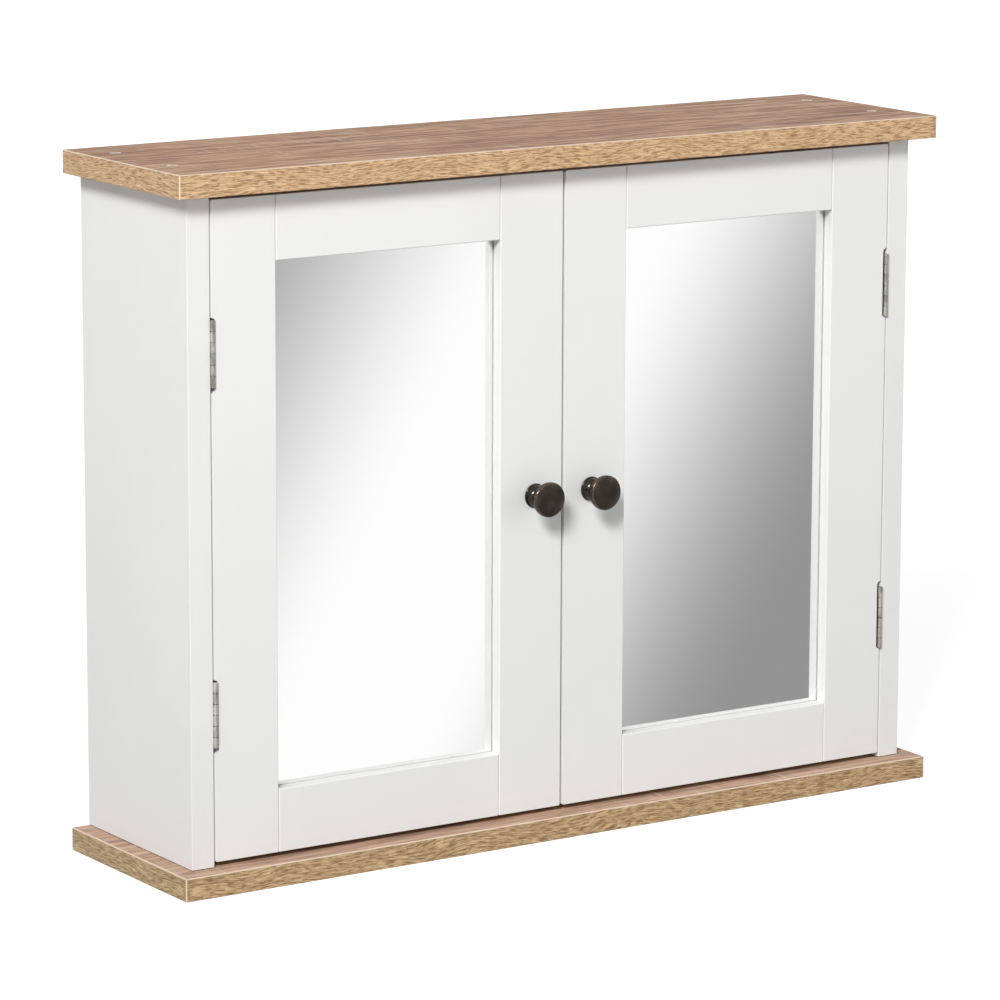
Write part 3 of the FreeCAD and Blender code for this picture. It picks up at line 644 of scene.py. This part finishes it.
# Finishes for the CAD pieces, by the record's material slots
finishes = {
    "oak_board": makeOakFace("oak_face"),
    "white_board": makePaint("board_paint", boardPaint),
    "white_frame": makePaint("frame_paint", framePaint),
    "bronze": makeBronze(),
    "hinge_steel": makePlated("nickel_plate", nickel),
    "screw_steel": makePlated("bright_zinc", brightZinc),
    "plain_steel": makePlated("plain_zinc", plainZinc),
    "magnet": makePlated("ferrite", ferrite),
    "dowel_wood": makeBeech(),
    "catch_plastic": makePlastic(),
    "hardboard": makeHardboard("backing_board", True),
}
ownFinishes = {  # and by name, where a piece differs from others in its slot
    "bottom_board": makeOakFace("painted_light_oak_face", lowFacePaintedLight),
    "top_board_edging": makeOakBand("top_oak_band", "top_board_edging"),
    "bottom_board_edging": makeOakBand("bottom_oak_band", "bottom_board_edging", lowBandShadeAndTint),
    "back_panel": makeHardboard("back_hardboard", False),
    "left_side_panel": makePaint("left_side_paint", boardPaint, "left_side_panel"),
    "right_side_panel": makePaint("right_side_paint", boardPaint, "right_side_panel"),
}
for nodeName, node in cadNodes.items():
    slotName = node.material_slots[0].material.name
    if nodeName in ownFinishes:
        node.material_slots[0].material = ownFinishes[nodeName]
    elif slotName in finishes:
        node.material_slots[0].material = finishes[slotName]
print("finishes set")

mirrorCoats = [makeGlass(), makeSilver(), makeFelt()]
for side in ("left", "right"):
    makeMirror(side, mirrorCoats)
print("mirrors made")


# Camera: from the left, above, with a long lens
shot = {
    "lens": 177.84,
    "sensor": 36.0,
    "clip": (0.05, 100.0),
    "place": (-1.7545, -2.6562, 0.8447),
    "turn": 33.31,  # degrees to the right of straight on
    "down": 11.24,
    "roll": 0.175,
}


def makeCamera():
    data = bpy.data.cameras.new("camera")
    data.lens, data.sensor_width = shot["lens"], shot["sensor"]
    data.clip_start, data.clip_end = shot["clip"]
    camera = bpy.data.objects.new("camera", data)
    scene.collection.objects.link(camera)
    turn, down = radians(shot["turn"]), radians(shot["down"])
    ahead = Vector((sin(turn) * cos(down), cos(turn) * cos(down), -sin(down)))
    camera.location = shot["place"]
    aimed = ahead.to_track_quat("-Z", "Y").to_matrix().to_4x4()
    spun = aimed @ Matrix.Rotation(radians(shot["roll"]), 4, "Z")
    camera.rotation_euler = spun.to_euler()
    scene.camera = camera
    return camera


camera = makeCamera()
print("camera set")


# Studio: even light all round, a soft key from the upper left, a weak fill, a pale floor
studio = {
    "evenLight": 0.275,
    "keyPlace": (-3.32, -3.10, 3.19),
    "lampAim": (0.0, -0.05, 0.22),
    "keySize": 1.25,
    "keyPower": 260.0,
    "fillPlace": (1.8, -1.8, 0.8),
    "fillSize": 1.2,
    "fillPower": 8.4,
    "floorSize": 40.0,
    "floorNear": (173, 173, 173),
    "floorFar": (222, 222, 222),
    "floorGlow": (0.84, 0.94),  # added for the camera, so the floor reads white beside its shadow
    "glowReach": (0.45, 2.2),  # metres from the cabinet over which the glow grows
}


def makeWorld():
    world = bpy.data.worlds.new("studio")
    scene.world = world
    world.use_nodes = True
    tree = world.node_tree
    light = tree.nodes["Background"]
    plug(tree, light, {"Color": plainWhite, "Strength": studio["evenLight"]})
    shown = addNode(tree, "ShaderNodeBackground", {"Color": plainWhite, "Strength": 1.0})
    seen = rayKinds(tree, ["Is Camera Ray", "Is Glossy Ray", "Is Transmission Ray"])
    seen = calc(tree, "MULTIPLY", seen, metPaint(tree, "LESS_THAN"))  # no extra light on the paint
    both = addNode(tree, "ShaderNodeMixShader", {0: seen, 1: light.outputs[0], 2: shown.outputs[0]})
    plug(tree, tree.nodes["World Output"], {"Surface": both.outputs[0]})


def makeSheet(name, size, material):
    mesh = bpy.data.meshes.new(name)
    half = size / 2
    corners = [(-half, -half, 0), (half, -half, 0), (half, half, 0), (-half, half, 0)]
    mesh.from_pydata(corners, [], [(0, 1, 2, 3)])
    mesh.materials.append(material)
    sheet = bpy.data.objects.new(name, mesh)
    scene.collection.objects.link(sheet)
    return sheet


def makeFloor():
    material, tree = startBareMaterial("pale_floor")
    away = addNode(tree, "ShaderNodeVectorMath", {0: ownCoords(tree)}, operation="LENGTH").outputs["Value"]
    far = slide(tree, away, *studio["glowReach"])
    colour = mixColour(tree, far, tint(studio["floorNear"]), tint(studio["floorFar"]))
    matt = addNode(tree, "ShaderNodeBsdfDiffuse", {"Color": colour})
    level = slide(tree, far, 0.0, 1.0, *studio["floorGlow"])
    seen = calc(tree, "MULTIPLY", rayKinds(tree, ["Is Camera Ray"]), level)
    glow = addNode(tree, "ShaderNodeEmission", {"Strength": seen})
    both = addNode(tree, "ShaderNodeAddShader", {0: matt.outputs[0], 1: glow.outputs[0]})
    addNode(tree, "ShaderNodeOutputMaterial", {"Surface": both.outputs[0]})
    floor = makeSheet("floor", studio["floorSize"], material)
    floor.visible_glossy = False  # metal and mirrors show the white studio instead
    floor.visible_transmission = False


def makeLamp(name):  # a square soft box aimed at the cabinet
    data = bpy.data.lights.new(name, "AREA")
    data.shape, data.size, data.energy = "SQUARE", studio[name + "Size"], studio[name + "Power"]
    lamp = bpy.data.objects.new(name, data)
    scene.collection.objects.link(lamp)
    lamp.location = studio[name + "Place"]
    aim = Vector(studio["lampAim"]) - lamp.location
    lamp.rotation_euler = aim.to_track_quat("-Z", "Y").to_euler()


# Reflector card that the mirrors show: a white band between two greys
card = {
    "reach": 4.0,  # from the camera by way of the mirrors
    "size": 1.1,
    "lean": 25.2,  # degrees that the band leans
    "leftGrey": 150, "leftFrom": -0.336, "leftTo": -0.073,  # screen grey, metres across the card
    "rightGrey": 148, "rightFrom": 0.020, "rightTo": 0.243,
    "gamma": 2.2,  # screen grey to light
    "strength": 1.06,
}


def makeCardPaint():
    material, tree = startBareMaterial("card_paint")
    across = splitAxes(tree, ownCoords(tree))[0]
    rise = slide(tree, across, card["leftFrom"], card["leftTo"], card["leftGrey"] / 255, 1.0)
    fall = slide(tree, across, card["rightFrom"], card["rightTo"], 1.0, card["rightGrey"] / 255)
    grey = calc(tree, "POWER", calc(tree, "MINIMUM", rise, fall), card["gamma"])
    colour = joinAxes(tree, grey, grey, grey)
    glow = addNode(tree, "ShaderNodeEmission", {"Color": colour, "Strength": card["strength"]})
    addNode(tree, "ShaderNodeOutputMaterial", {"Surface": glow.outputs[0]})
    return material


def makeCard(camera):
    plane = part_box("left_mirror")[0].y + mirror["room"] + mirror["glassDepth"]
    flip = Matrix.Diagonal((1.0, -1.0, 1.0))  # the mirrors turn the view back along Y
    view = flip @ camera.rotation_euler.to_matrix()
    right, up, ahead = view.col[0], view.col[1], -view.col[2]
    eye = Vector((camera.location.x, 2 * plane - camera.location.y, camera.location.z))
    lean = radians(card["lean"])
    across = right * cos(lean) - up * sin(lean)
    along = right * sin(lean) + up * cos(lean)
    sheet = makeSheet("reflector_card", card["size"], makeCardPaint())
    turned = Matrix((across, along, across.cross(along))).transposed().to_4x4()
    sheet.matrix_world = Matrix.Translation(eye + ahead * card["reach"]) @ turned
    sheet.visible_camera = sheet.visible_diffuse = sheet.visible_shadow = False


makeWorld()
makeFloor()
makeLamp("key")
makeLamp("fill")
makeCard(camera)
print("studio set")
